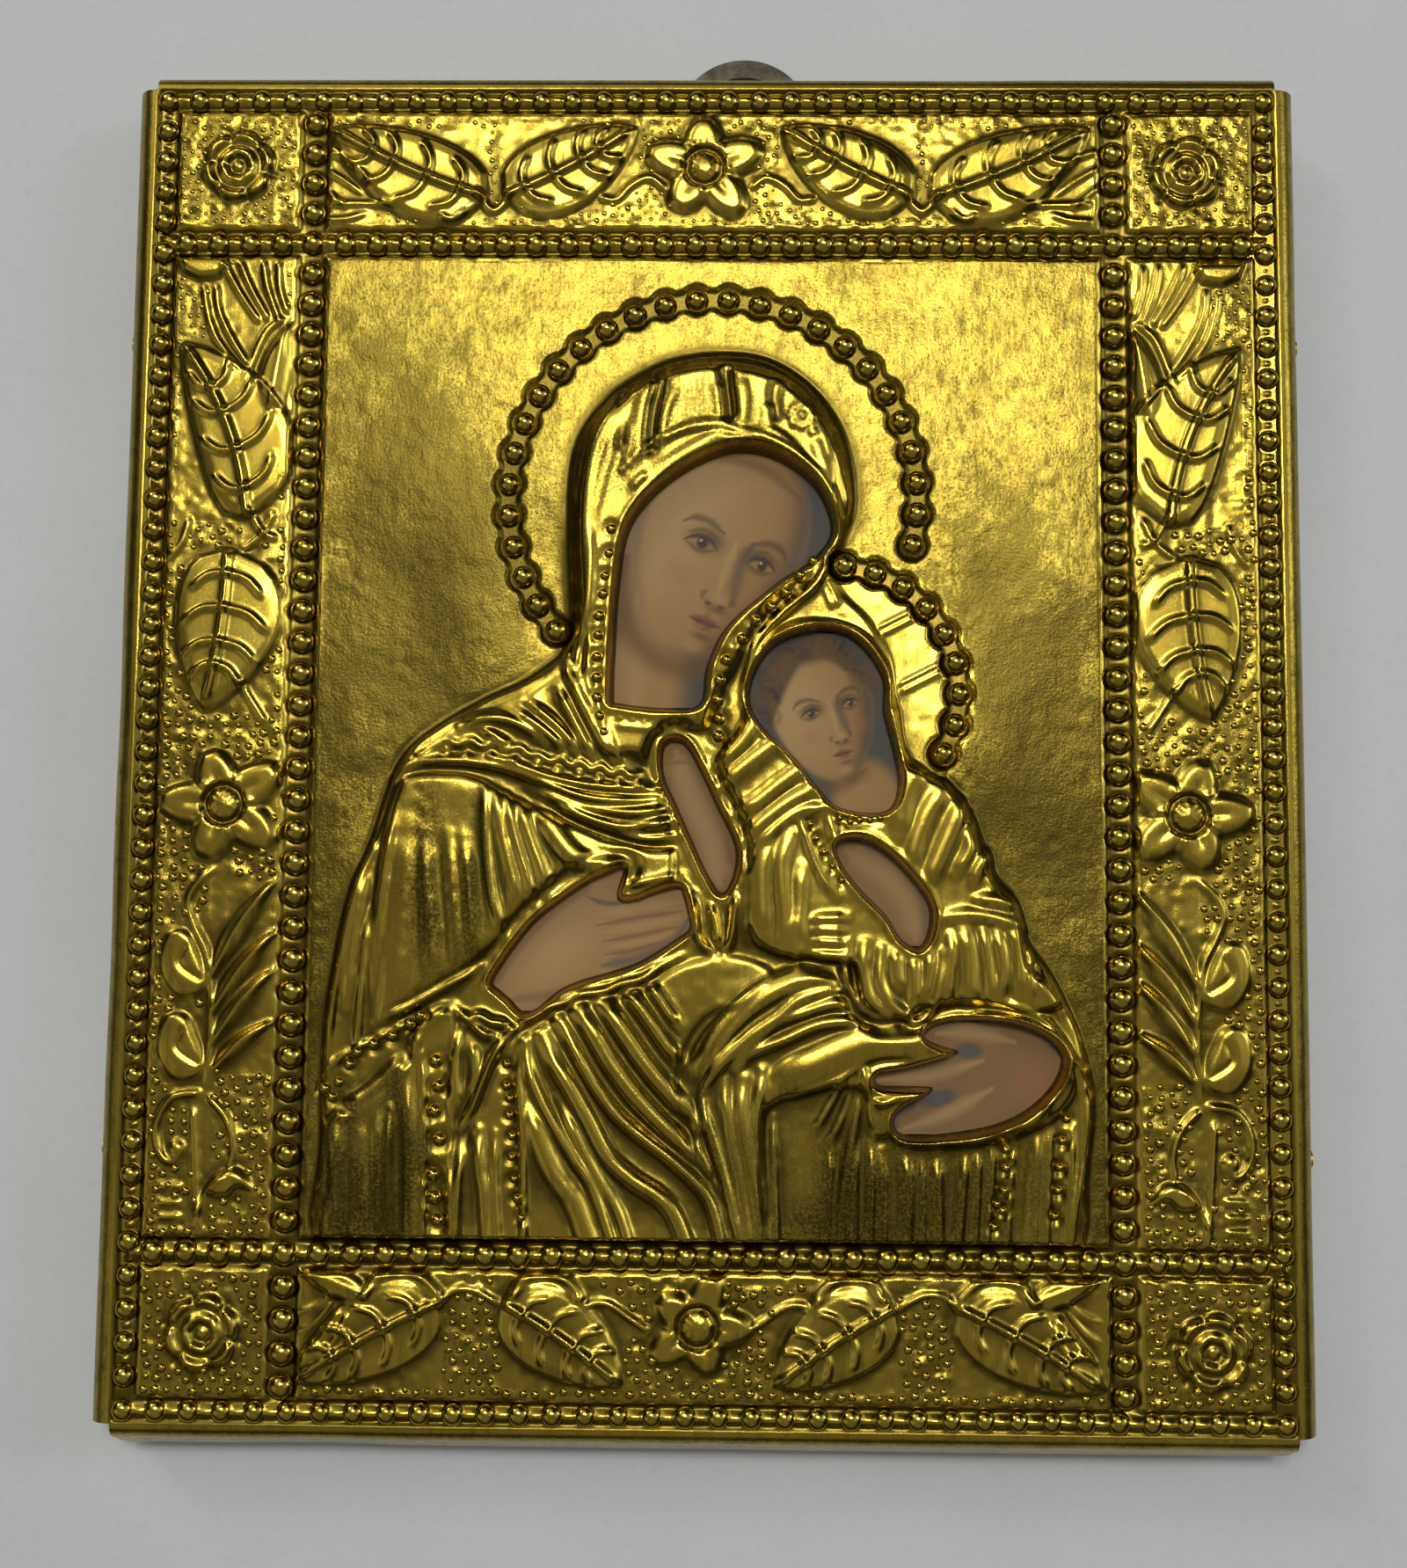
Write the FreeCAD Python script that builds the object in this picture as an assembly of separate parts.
import FreeCAD, Part
import math
import os

# An icon: a printed sheet on a wooden board, under a thin stamped brass cover.
# Lengths are in millimetres. X runs across the icon, Y up the picture, Z out of its face.
# The origin is the centre of the back.

# The wooden board
board_width = 130.0
board_height = 150.0
board_thickness = 7.0
board_corner_radius = 3.0
board_edge_round = 1.8

# The card glued to the back, with a notch that the hanger swings in
card_thickness = 1.2
card_margin = 2.0
notch_corner_radius = 3.0

# The printed paper sheet on the board's front
print_thickness = 0.25
print_margin = 2.4

# The brass cover
sheet_thickness = 0.3
cover_gap = 0.15
ground_rise = 0.5
side_bend_radius = 2.4
end_bend_radius = 1.7
flange_depth = 5.0
bottom_splay_degrees = 21.0
flange_corner_cut = 0.8

# Rows of beads in their grooves
bead_pitch = 3.53
outer_row_inset = 3.7
outer_bead_radius = 1.0
outer_groove_width = 2.6
inner_row_inset_x = 20.55
inner_row_inset_y = 19.65
inner_bead_radius = 1.25
inner_groove_width = 3.4
groove_floor_share = 0.7
bead_height = 1.1
bead_top_share = 0.5
bead_sides = 5
bead_clear_share = 0.7
row_end_share = 0.75

# The ring of beads round the large head, and the raised disc with its ring round the small head
halo_centre_x = 0.35
halo_centre_y = 26.7
halo_radius = 22.65
halo_start_degrees = -13.0
halo_end_degrees = 221.0
small_halo_centre_x = 13.5
small_halo_centre_y = 5.3
small_halo_radius = 14.0
small_halo_rim = 1.4
small_halo_rise = 0.45
small_halo_start_degrees = -29.0
small_halo_end_degrees = 84.0

# The figures in relief: outlines are shares of this length, measured from the cover's centre
picture_span = 100.0
robe_rise = 1.1
fold_rise = 1.9
veil_rise = 2.2
child_rise = 2.5
relief_slope = 0.7
window_rim = 0.35
window_sides = 44

# Pins through the side and top flanges
pin_radius = 0.5
pin_length = 6.0
pin_head_radius = 1.0
pin_head_thickness = 0.35
pin_spacing_share = 0.6
pin_drop = 3.7

# The hanger, a flat eye that swings on one nail
hanger_thickness = 0.6
ring_outer_radius = 8.0
ring_inner_radius = 5.9
tab_radius = 3.2
neck_width = 5.0
nail_to_ring = 11.6
nail_below_top = 12.9
nail_radius = 0.75
nail_length = 5.0
nail_head_radius = 1.9
nail_head_thickness = 0.35
hanger_swing_degrees = 17.6
swing_limit_degrees = 24.0
stop_gap = 0.4

# Clearances, and one overrun for every cut
running_gap = 0.05
pin_hole_gap = 0.02
overrun = 1.0

half_board_width = board_width / 2
half_board_height = board_height / 2
board_back = card_thickness
board_front = board_back + board_thickness
print_front = board_front + print_thickness
ground_top = print_front + ground_rise + sheet_thickness
groove_floor = ground_top - ground_rise
half_cover_width = half_board_width + cover_gap + sheet_thickness
half_cover_height = half_board_height + cover_gap + sheet_thickness
half_flat_width = half_cover_width - side_bend_radius
half_flat_height = half_cover_height - end_bend_radius
flange_end = ground_top - flange_depth
outer_row_x = half_cover_width - outer_row_inset
outer_row_y = half_cover_height - outer_row_inset + side_bend_radius - end_bend_radius
inner_row_x = half_cover_width - inner_row_inset_x
inner_row_y = half_cover_height - inner_row_inset_y
nail_x = 0.0
nail_y = half_board_height - nail_below_top

# The outline of both figures, clockwise from the top of the veil
robe_shares = (
    (0.005, 0.432), (-0.055, 0.420), (-0.105, 0.388), (-0.140, 0.350), (-0.155, 0.300),
    (-0.155, 0.220), (-0.150, 0.150), (-0.160, 0.098), (-0.200, 0.065), (-0.245, 0.044),
    (-0.290, 0.018), (-0.328, -0.012), (-0.348, -0.050), (-0.362, -0.110), (-0.385, -0.180),
    (-0.402, -0.270), (-0.410, -0.380), (-0.405, -0.470), (-0.400, -0.532), (-0.250, -0.533),
    (0.000, -0.533), (0.250, -0.533), (0.398, -0.532), (0.405, -0.450), (0.402, -0.360),
    (0.380, -0.310), (0.365, -0.270), (0.345, -0.225), (0.335, -0.180), (0.300, -0.150),
    (0.290, -0.100), (0.268, -0.055), (0.235, -0.020), (0.220, 0.050), (0.200, 0.120),
    (0.155, 0.165), (0.145, 0.205), (0.158, 0.255), (0.155, 0.305), (0.140, 0.350),
    (0.105, 0.395), (0.060, 0.425))
veil_shares = (
    (0.005, 0.425), (-0.055, 0.410), (-0.105, 0.375), (-0.135, 0.335), (-0.147, 0.280),
    (-0.147, 0.180), (-0.140, 0.080), (-0.120, 0.010), (-0.085, -0.020), (-0.050, 0.000),
    (0.000, 0.060), (0.060, 0.120), (0.120, 0.190), (0.148, 0.250), (0.148, 0.305),
    (0.130, 0.350), (0.098, 0.388), (0.055, 0.415))
shoulder_shares = (
    (-0.150, 0.080), (-0.200, 0.050), (-0.260, 0.025), (-0.310, -0.010), (-0.335, -0.060),
    (-0.350, -0.130), (-0.350, -0.220), (-0.320, -0.290), (-0.260, -0.260), (-0.215, -0.200),
    (-0.140, -0.140), (-0.060, -0.120), (-0.070, -0.040), (-0.110, 0.020))
child_shares = (
    (0.118, 0.142), (0.060, 0.110), (0.030, 0.050), (0.025, -0.020), (0.035, -0.100),
    (0.060, -0.200), (0.110, -0.250), (0.180, -0.270), (0.250, -0.285), (0.315, -0.270),
    (0.310, -0.195), (0.262, -0.155), (0.268, -0.105), (0.235, -0.060), (0.208, -0.020),
    (0.202, 0.060), (0.172, 0.118))
sleeve_shares = (
    (-0.020, -0.210), (-0.080, -0.245), (-0.160, -0.285), (-0.190, -0.340), (-0.170, -0.430),
    (-0.090, -0.500), (0.020, -0.510), (0.070, -0.440), (0.050, -0.360), (0.110, -0.310),
    (0.150, -0.270), (0.080, -0.240))
cuff_shares = (
    (0.200, -0.300), (0.290, -0.285), (0.370, -0.300), (0.395, -0.350), (0.370, -0.410),
    (0.290, -0.440), (0.200, -0.445), (0.150, -0.400), (0.155, -0.335))

# The windows that show the print
face_window_shares = (
    (0.047, 0.320), (0.007, 0.315), (-0.046, 0.284), (-0.086, 0.236), (-0.100, 0.170),
    (-0.103, 0.100), (-0.100, 0.045), (-0.050, 0.034), (-0.010, 0.038), (-0.002, 0.080),
    (0.020, 0.125), (0.075, 0.174), (0.113, 0.200), (0.134, 0.232), (0.120, 0.275),
    (0.088, 0.305))
child_window_shares = (
    (0.120, 0.120), (0.070, 0.100), (0.047, 0.055), (0.056, 0.020), (0.094, -0.018),
    (0.118, -0.048), (0.145, -0.074), (0.194, -0.078), (0.208, -0.050), (0.202, -0.010),
    (0.192, 0.030), (0.190, 0.070), (0.160, 0.110))
arm_window_shares = (
    (-0.046, -0.008), (-0.026, -0.006), (-0.008, -0.035), (0.010, -0.073), (0.030, -0.115),
    (0.030, -0.145), (0.018, -0.168), (0.003, -0.150), (-0.016, -0.110), (-0.034, -0.070),
    (-0.047, -0.040))
hand_window_shares = (
    (-0.091, -0.143), (-0.113, -0.152), (-0.132, -0.162), (-0.157, -0.179), (-0.184, -0.201),
    (-0.204, -0.225), (-0.219, -0.247), (-0.230, -0.267), (-0.223, -0.276), (-0.210, -0.288),
    (-0.197, -0.296), (-0.183, -0.293), (-0.172, -0.286), (-0.157, -0.274), (-0.135, -0.264),
    (-0.105, -0.255), (-0.076, -0.245), (-0.054, -0.233), (-0.030, -0.217), (-0.018, -0.204),
    (-0.021, -0.186), (-0.026, -0.171), (-0.036, -0.166), (-0.054, -0.170), (-0.076, -0.177),
    (-0.092, -0.176), (-0.097, -0.166), (-0.093, -0.152))
wrist_window_shares = (
    (0.142, -0.116), (0.165, -0.110), (0.190, -0.121), (0.218, -0.147), (0.240, -0.178),
    (0.241, -0.205), (0.230, -0.225), (0.211, -0.215), (0.195, -0.190), (0.170, -0.165),
    (0.150, -0.140))
palm_window_shares = (
    (0.240, -0.321), (0.246, -0.313), (0.258, -0.308), (0.274, -0.305), (0.295, -0.304),
    (0.317, -0.306), (0.339, -0.310), (0.358, -0.318), (0.373, -0.328), (0.381, -0.340),
    (0.382, -0.352), (0.378, -0.365), (0.368, -0.379), (0.354, -0.392), (0.336, -0.403),
    (0.315, -0.413), (0.290, -0.419), (0.263, -0.423), (0.236, -0.426), (0.215, -0.424),
    (0.207, -0.416), (0.209, -0.405), (0.219, -0.396), (0.232, -0.389), (0.243, -0.381),
    (0.240, -0.376), (0.226, -0.374), (0.208, -0.374), (0.192, -0.372), (0.188, -0.367),
    (0.193, -0.362), (0.209, -0.359), (0.230, -0.354), (0.252, -0.347), (0.266, -0.340),
    (0.264, -0.335), (0.252, -0.330))
window_tables = (
    face_window_shares, child_window_shares, arm_window_shares,
    hand_window_shares, wrist_window_shares, palm_window_shares)


def vec(x, y, z):
    return FreeCAD.Vector(x, y, z)


def box_between(low, high):
    # An upright box from its lowest to its highest corner
    size = [b - a for a, b in zip(low, high)]
    return Part.makeBox(size[0], size[1], size[2], vec(low[0], low[1], low[2]))


def centred_box(half_x, half_y, z_low, z_high):
    return box_between((-half_x, -half_y, z_low), (half_x, half_y, z_high))


def upright_edges(solid, height):
    # The vertical edges that run the whole height of a slab
    picked = []
    for edge in solid.Edges:
        ends = [vertex.Point for vertex in edge.Vertexes]
        if len(ends) == 2 and abs(abs(ends[0].z - ends[1].z) - height) < running_gap:
            picked.append(edge)
    return picked


def edges_at_height(solid, z):
    return [edge for edge in solid.Edges
            if abs(edge.BoundBox.ZMin - z) < running_gap and abs(edge.BoundBox.ZMax - z) < running_gap]


def outline_points(shares, inset):
    # The outline's points, each moved inwards square to the line between its neighbours
    places = [(x * picture_span, y * picture_span) for x, y in shares]
    area = sum(a[0] * b[1] - b[0] * a[1] for a, b in zip(places, places[1:] + places[:1]))
    inward = 1 if area > 0 else -1
    moved = []
    for index, (x, y) in enumerate(places):
        before = places[index - 1]
        after = places[(index + 1) % len(places)]
        along_x = after[0] - before[0]
        along_y = after[1] - before[1]
        length = math.hypot(along_x, along_y)
        moved.append((x - inward * inset * along_y / length, y + inward * inset * along_x / length))
    return moved


def outline_curve(shares, z, inset):
    curve = Part.BSplineCurve()
    curve.interpolate([vec(x, y, z) for x, y in outline_points(shares, inset)], PeriodicFlag=True)
    return curve


def outline_wire(shares, z, inset):
    return Part.Wire([outline_curve(shares, z, inset).toShape()])


def straight_wire(shares, z, inset):
    # The same outline in straight runs, for spaces that no one sees
    points = [vec(x, y, z) for x, y in outline_points(shares, inset)]
    return Part.makePolygon(points + points[:1])


def window_face(shares, z, inset):
    # A window's outline in short even runs, which keep the number of its facets low
    points = outline_curve(shares, z, inset).discretize(window_sides)
    return Part.Face(Part.makePolygon(points[:-1] + points[:1]))


def raised_form(shares, rise):
    # A low form with sloping sides, standing on the ground of the cover
    base = outline_wire(shares, groove_floor, 0)
    crown = outline_wire(shares, ground_top + rise, relief_slope)
    return Part.makeLoft([base, crown], True, True)


def pressed_hollow(shares, rise):
    # The space behind a form, one sheet thickness inside it
    z_low = print_front - overrun
    base = straight_wire(shares, z_low, sheet_thickness + relief_slope)
    return Part.Face(base).extrude(vec(0, 0, ground_top + rise - sheet_thickness - z_low))


def window_wall(shares, rise):
    # The solid rim round a window, which keeps the hollow away from its edge
    z_low = print_front - 2 * overrun
    face = window_face(shares, z_low, -window_rim)
    return face.extrude(vec(0, 0, ground_top + rise - z_low))


def window(shares, rise):
    z_low = print_front - overrun
    face = window_face(shares, z_low, 0)
    return face.extrude(vec(0, 0, ground_top + rise + overrun - z_low))


def groove_bar(length, width):
    # A groove's space along X, wider at its top, centred on the origin
    half_top = width / 2
    half_floor = half_top * groove_floor_share
    top_z = ground_top + overrun
    slope = (half_top - half_floor) / ground_rise
    corners = [
        vec(-length / 2, -half_floor, groove_floor), vec(-length / 2, half_floor, groove_floor),
        vec(-length / 2, half_top + slope * overrun, top_z),
        vec(-length / 2, -half_top - slope * overrun, top_z)]
    face = Part.Face(Part.makePolygon(corners + corners[:1]))
    return face.extrude(vec(length, 0, 0))


def turned(solid, degrees):
    copy = solid.copy()
    copy.rotate(vec(0, 0, 0), vec(0, 0, 1), degrees)
    return copy


def moved(solid, x, y, z):
    copy = solid.copy()
    copy.translate(vec(x, y, z))
    return copy


def grooves():
    bars = []
    for side in (-1, 1):
        across = groove_bar(2 * outer_row_x + outer_groove_width * groove_floor_share, outer_groove_width)
        upright = groove_bar(2 * outer_row_y + outer_groove_width * groove_floor_share, outer_groove_width)
        bars.append(moved(across, 0, side * outer_row_y, 0))
        bars.append(moved(turned(upright, 90), side * outer_row_x, 0, 0))
        inner_across = groove_bar(2 * outer_row_x, inner_groove_width)
        inner_upright = groove_bar(2 * outer_row_y, inner_groove_width)
        bars.append(moved(inner_across, 0, side * inner_row_y, 0))
        bars.append(moved(turned(inner_upright, 90), side * inner_row_x, 0, 0))
    return bars


def bead(radius):
    # A faceted bead whose foot is sunk into the sheet below it
    foot = groove_floor - sheet_thickness / 2
    rings = []
    for z, size in ((foot, radius), (groove_floor + bead_height, radius * bead_top_share)):
        turns = [2 * math.pi * index / bead_sides for index in range(bead_sides)]
        rings.append([vec(size * math.cos(turn), size * math.sin(turn), z) for turn in turns])
    outlines = [rings[0], rings[1]]
    for index in range(bead_sides):
        after = (index + 1) % bead_sides
        outlines.append([rings[0][index], rings[0][after], rings[1][after], rings[1][index]])
    faces = [Part.Face(Part.makePolygon(outline + outline[:1])) for outline in outlines]
    solid = Part.Solid(Part.Shell(faces))
    return solid if solid.Volume > 0 else solid.reversed()


def places_along(length):
    # Evenly spaced places from one end of a row to the other
    steps = max(round(length / bead_pitch), 1)
    return [-length / 2 + length * index / steps for index in range(steps + 1)]


def row_places():
    outer = []
    for x in places_along(2 * outer_row_x):
        outer += [(x, -outer_row_y), (x, outer_row_y)]
    for y in places_along(2 * outer_row_y)[1:-1]:
        outer += [(-outer_row_x, y), (outer_row_x, y)]
    inner = []
    inner_length_x = 2 * (outer_row_x - bead_pitch * row_end_share)
    inner_length_y = 2 * (outer_row_y - bead_pitch * row_end_share)
    for y in places_along(inner_length_y):
        inner += [(-inner_row_x, y), (inner_row_x, y)]
    for x in places_along(inner_length_x):
        if abs(abs(x) - inner_row_x) > bead_pitch * bead_clear_share:
            inner += [(x, -inner_row_y), (x, inner_row_y)]
    return outer, inner


def arc_places(centre_x, centre_y, radius, start_degrees, end_degrees):
    span = math.radians(end_degrees - start_degrees)
    steps = max(round(span * radius / bead_pitch), 1)
    places = []
    for index in range(steps + 1):
        angle = math.radians(start_degrees) + span * index / steps
        places.append((centre_x + radius * math.cos(angle), centre_y + radius * math.sin(angle)))
    return places


def beads():
    outer, inner = row_places()
    halo = arc_places(halo_centre_x, halo_centre_y, halo_radius, halo_start_degrees, halo_end_degrees)
    small = arc_places(
        small_halo_centre_x, small_halo_centre_y, small_halo_radius,
        small_halo_start_degrees, small_halo_end_degrees)
    small_bead = bead(outer_bead_radius)
    large_bead = bead(inner_bead_radius)
    solids = [moved(small_bead, x, y, 0) for x, y in outer]
    solids += [moved(large_bead, x, y, 0) for x, y in inner]
    solids += [moved(large_bead, x, y, ground_rise) for x, y in halo]
    solids += [moved(large_bead, x, y, ground_rise + small_halo_rise) for x, y in small]
    return solids


def ground_panels():
    # The raised grounds between the rows: four corners, four borders and the field
    half_outer = outer_groove_width / 2
    half_inner = inner_groove_width / 2
    edges_x = [-outer_row_x + half_outer, -inner_row_x - half_inner, -inner_row_x + half_inner]
    edges_y = [-outer_row_y + half_outer, -inner_row_y - half_inner, -inner_row_y + half_inner]
    edges_x += [-x for x in reversed(edges_x)]
    edges_y += [-y for y in reversed(edges_y)]
    panels = []
    for left, right in zip(edges_x[0::2], edges_x[1::2]):
        for low, high in zip(edges_y[0::2], edges_y[1::2]):
            panels.append((left, right, low, high))
    return panels


def flange_profile(bend_radius, splay_degrees):
    # The bend and wall of one flange in the XZ plane, bent down from the flat part at X = 0
    inner_radius = bend_radius - sheet_thickness
    centre = vec(0, 0, ground_top - bend_radius)
    turn = math.radians(90 - splay_degrees)

    def on_arc(radius, angle):
        return centre + vec(radius * math.sin(angle), 0, radius * math.cos(angle))

    outer_end = on_arc(bend_radius, turn)
    inner_end = on_arc(inner_radius, turn)
    drop = outer_end.z - flange_end
    run = drop * math.tan(math.radians(splay_degrees))
    inner_drop = inner_end.z - flange_end
    inner_run = inner_drop * math.tan(math.radians(splay_degrees))
    outer_foot = vec(outer_end.x + run, 0, flange_end)
    inner_foot = vec(inner_end.x + inner_run, 0, flange_end)
    edges = [
        Part.Arc(on_arc(bend_radius, 0), on_arc(bend_radius, turn / 2), outer_end).toShape(),
        Part.makeLine(outer_end, outer_foot),
        Part.makeLine(outer_foot, inner_foot),
        Part.makeLine(inner_foot, inner_end),
        Part.Arc(inner_end, on_arc(inner_radius, turn / 2), on_arc(inner_radius, 0)).toShape(),
        Part.makeLine(on_arc(inner_radius, 0), on_arc(bend_radius, 0))]
    return Part.Face(Part.Wire(edges))


def flange(bend_radius, splay_degrees, length):
    # A flange along Y, centred, with the corners of its raw edge cut off
    solid = flange_profile(bend_radius, splay_degrees).extrude(vec(0, length, 0))
    solid.translate(vec(0, -length / 2, 0))
    reach = bend_radius + flange_depth
    for side in (-1, 1):
        corner = vec(-overrun, side * (length / 2 - flange_corner_cut), flange_end)
        tip = vec(-overrun, side * (length / 2 + overrun), flange_end - overrun)
        top = vec(-overrun, side * (length / 2 + overrun), flange_end + flange_corner_cut + overrun)
        low = vec(-overrun, side * (length / 2 - flange_corner_cut - overrun), flange_end - overrun)
        wedge = Part.Face(Part.makePolygon([corner, low, tip, top, corner]))
        solid = solid.cut(wedge.extrude(vec(reach + overrun, 0, 0)))
    return solid


def flanges():
    side = flange(side_bend_radius, 0, 2 * half_flat_height)
    top = flange(end_bend_radius, 0, 2 * half_flat_width)
    bottom = flange(end_bend_radius, bottom_splay_degrees, 2 * half_flat_width)
    return [
        moved(side, half_flat_width, 0, 0),
        moved(turned(side, 180), -half_flat_width, 0, 0),
        moved(turned(top, 90), 0, half_flat_height, 0),
        moved(turned(bottom, -90), 0, -half_flat_height, 0)]


def pin_places():
    # Each pin's middle on the board's edge, and the way that it points outwards
    height = ground_top - pin_drop
    places = []
    for share in (-pin_spacing_share, pin_spacing_share):
        places.append((half_board_width, share * half_board_height, height, 1, 0))
        places.append((-half_board_width, share * half_board_height, height, -1, 0))
        places.append((share * half_board_width, half_board_height, height, 0, 1))
    return places


def pin_shanks(radius, reach):
    # The round shanks of all the pins, from inside the board to a reach outside its edge
    shanks = []
    for x, y, z, out_x, out_y in pin_places():
        start = vec(x - out_x * pin_length, y - out_y * pin_length, z)
        shanks.append(Part.makeCylinder(radius, pin_length + reach, start, vec(out_x, out_y, 0)))
    return shanks


def brass_cover():
    face = centred_box(half_flat_width, half_flat_height, print_front, ground_top)
    face = face.cut(grooves())
    small_disc = Part.makeCylinder(
        small_halo_radius + small_halo_rim, ground_rise + small_halo_rise,
        vec(small_halo_centre_x, small_halo_centre_y, groove_floor))
    forms = [
        raised_form(robe_shares, robe_rise), raised_form(shoulder_shares, fold_rise),
        raised_form(sleeve_shares, fold_rise), raised_form(cuff_shares, fold_rise),
        raised_form(veil_shares, veil_rise), raised_form(child_shares, child_rise)]
    face = face.fuse(forms + [small_disc] + beads())
    hollows = []
    for left, right, low, high in ground_panels():
        hollows.append(box_between(
            (left + sheet_thickness, low + sheet_thickness, print_front - overrun),
            (right - sheet_thickness, high - sheet_thickness, ground_top - sheet_thickness)))
    hollow = hollows[0].fuse(hollows[1:] + [pressed_hollow(robe_shares, robe_rise)])
    hollow = hollow.cut([window_wall(shares, child_rise) for shares in window_tables])
    face = face.cut(hollow)
    face = face.cut([window(shares, child_rise) for shares in window_tables])
    cover = face.fuse(flanges())
    return cover.cut(pin_shanks(pin_radius + pin_hole_gap, side_bend_radius)).removeSplitter()


def wooden_board():
    board = centred_box(half_board_width, half_board_height, board_back, board_front)
    board = board.makeFillet(board_corner_radius, upright_edges(board, board_thickness))
    board = board.makeFillet(board_edge_round, edges_at_height(board, board_front))
    board = board.cut(pin_shanks(pin_radius + pin_hole_gap, overrun))
    nail_hole = Part.makeCylinder(
        nail_radius + pin_hole_gap, nail_length + overrun, vec(nail_x, nail_y, board_back - overrun))
    return board.cut(nail_hole)


def printed_sheet():
    return centred_box(
        half_board_width - print_margin, half_board_height - print_margin, board_front, print_front)


def backing_card():
    card = centred_box(half_board_width - card_margin, half_board_height - card_margin, 0, board_back)
    swing = math.radians(swing_limit_degrees)
    half_notch = nail_to_ring * math.sin(swing) + ring_outer_radius + stop_gap
    notch_low = nail_y - tab_radius - stop_gap
    notch = box_between(
        (nail_x - half_notch, notch_low, -overrun),
        (nail_x + half_notch, half_board_height + overrun, board_back + overrun))
    low_edges = [edge for edge in upright_edges(notch, board_back + 2 * overrun)
                 if edge.CenterOfMass.y < nail_y]
    return card.cut(notch.makeFillet(notch_corner_radius, low_edges))


def cover_pins():
    pins = []
    head_inset = cover_gap + sheet_thickness
    for (x, y, z, out_x, out_y), shank in zip(pin_places(), pin_shanks(pin_radius, head_inset)):
        start = vec(x + out_x * head_inset, y + out_y * head_inset, z)
        head = Part.makeCylinder(pin_head_radius, pin_head_thickness, start, vec(out_x, out_y, 0))
        pins.append(shank.fuse(head).removeSplitter())
    return Part.Compound(pins)


def hanger_plate():
    # Made upright above the nail and then swung to the side, as it lies at rest
    low = board_back - running_gap - hanger_thickness
    ring_y = nail_y + nail_to_ring
    ring = Part.makeCylinder(ring_outer_radius, hanger_thickness, vec(nail_x, ring_y, low))
    tab = Part.makeCylinder(tab_radius, hanger_thickness, vec(nail_x, nail_y, low))
    neck = box_between(
        (nail_x - neck_width / 2, nail_y, low),
        (nail_x + neck_width / 2, ring_y - ring_inner_radius, low + hanger_thickness))
    plate = ring.fuse([tab, neck]).removeSplitter()
    eye = Part.makeCylinder(
        ring_inner_radius, hanger_thickness + 2 * overrun, vec(nail_x, ring_y, low - overrun))
    nail_hole = Part.makeCylinder(
        nail_radius + running_gap, hanger_thickness + 2 * overrun, vec(nail_x, nail_y, low - overrun))
    plate = plate.cut([eye, nail_hole])
    plate.rotate(vec(nail_x, nail_y, 0), vec(0, 0, 1), -hanger_swing_degrees)
    return plate


def hanger_nail():
    head_top = board_back - hanger_thickness - 2 * running_gap
    head_low = head_top - nail_head_thickness
    shank = Part.makeCylinder(
        nail_radius, board_back + nail_length - head_top, vec(nail_x, nail_y, head_top))
    head = Part.makeCylinder(nail_head_radius, nail_head_thickness, vec(nail_x, nail_y, head_low))
    return shank.fuse(head).removeSplitter()


def main():
    os.makedirs("parts", exist_ok=True)
    nodes = {
        "wooden_board": wooden_board(),
        "printed_sheet": printed_sheet(),
        "brass_cover": brass_cover(),
        "cover_pins": cover_pins(),
        "backing_card": backing_card(),
        "hanger_plate": hanger_plate(),
        "hanger_nail": hanger_nail()}
    for name, shape in nodes.items():
        shape.exportStep(os.path.join("parts", name + ".step"))
        print(name, len(shape.Solids), "solids", round(shape.Volume, 2), "mm3", shape.isValid())


main()
